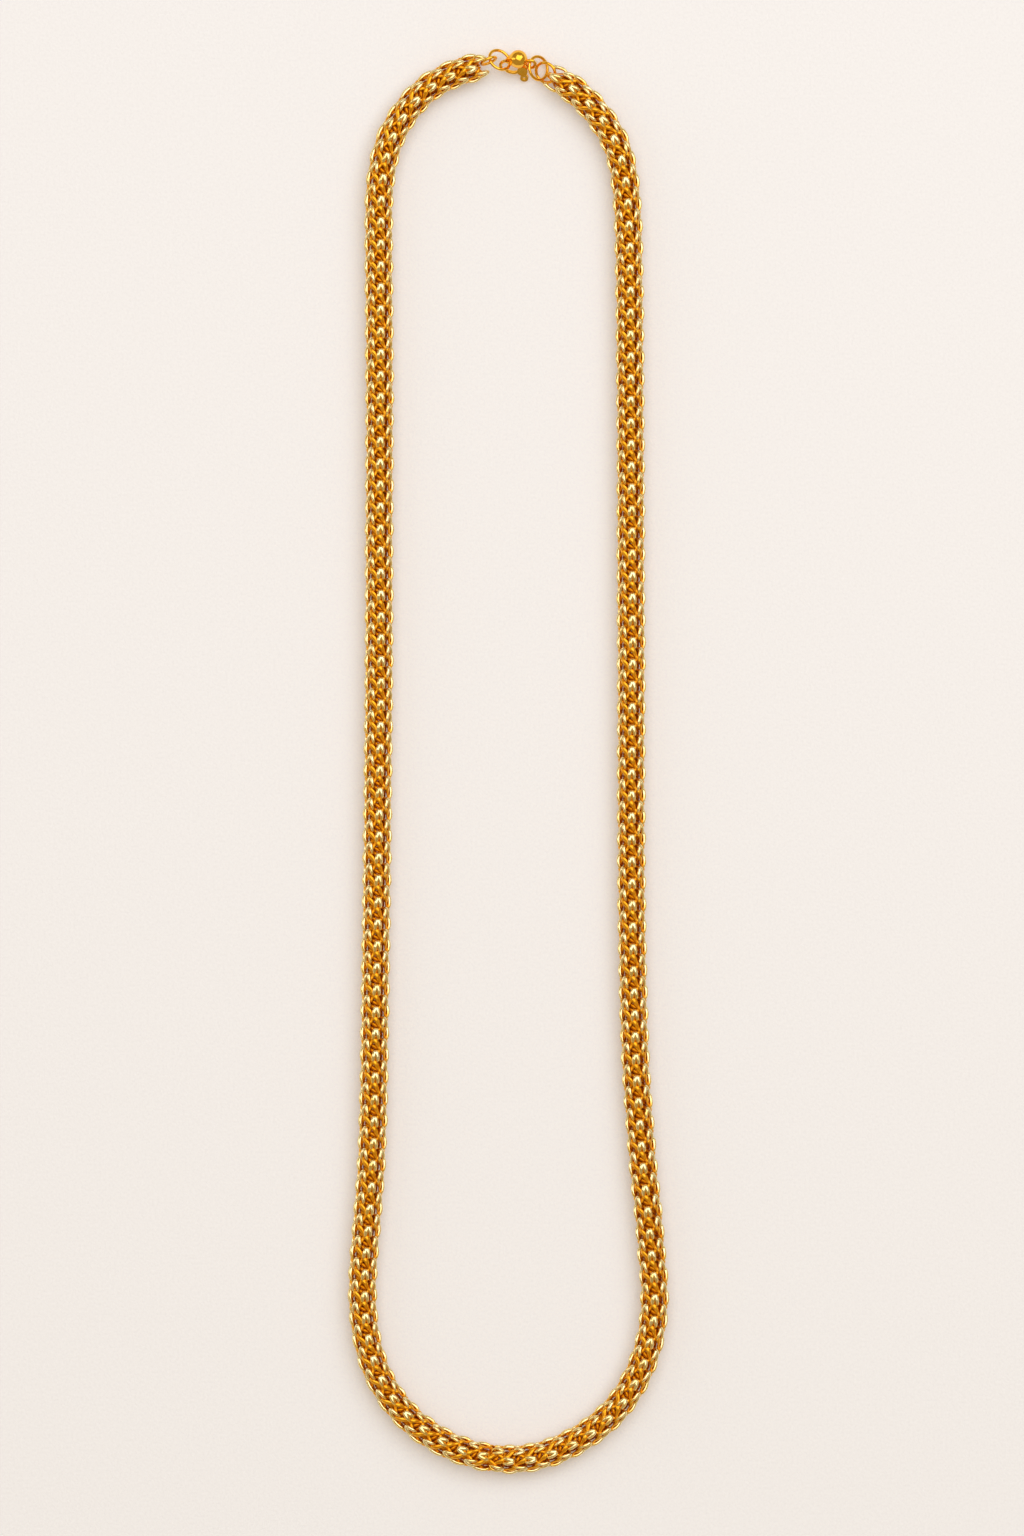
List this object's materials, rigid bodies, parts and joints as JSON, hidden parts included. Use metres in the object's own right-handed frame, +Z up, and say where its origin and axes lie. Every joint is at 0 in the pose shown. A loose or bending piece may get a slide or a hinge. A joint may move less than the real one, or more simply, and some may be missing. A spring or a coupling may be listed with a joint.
{
  "type": "haram necklace",
  "caption": "Long round woven link chain laid flat as a narrow loop and closed by a small lobster clasp hooked through plain round rings.",
  "frame": {"origin": "middle of the loop on the surface that the necklace lies on", "axes": "+X across the loop, +Y along it towards the clasp, +Z up from the surface"},
  "size_m": [0.0796, 0.3518, 0.0076],
  "materials": {
    "woven_gold": "polished gilt link weave",
    "polished_gold": "polished gilt metal"
  },
  "bodies": {
    "necklace": {"chain": "woven_gold", "left_end_link": "polished_gold", "left_ring": "polished_gold", "clasp_body": "polished_gold", "lever_pin": "polished_gold", "clasp_ring": "polished_gold", "right_end_link": "polished_gold"},
    "lever": {"clasp_lever": "polished_gold"}
  },
  "joints": [
    {"name": "lever_press", "type": "hinge", "parent": "necklace", "child": "lever", "pos_m": [0.00365, 0.17127, 0.00335], "axis": [0.0739, 0.7032, -0.7071], "range_deg": [0, 10], "stiffness_Nm_per_rad": 0.01, "springref_deg": -11.46}
  ]
}
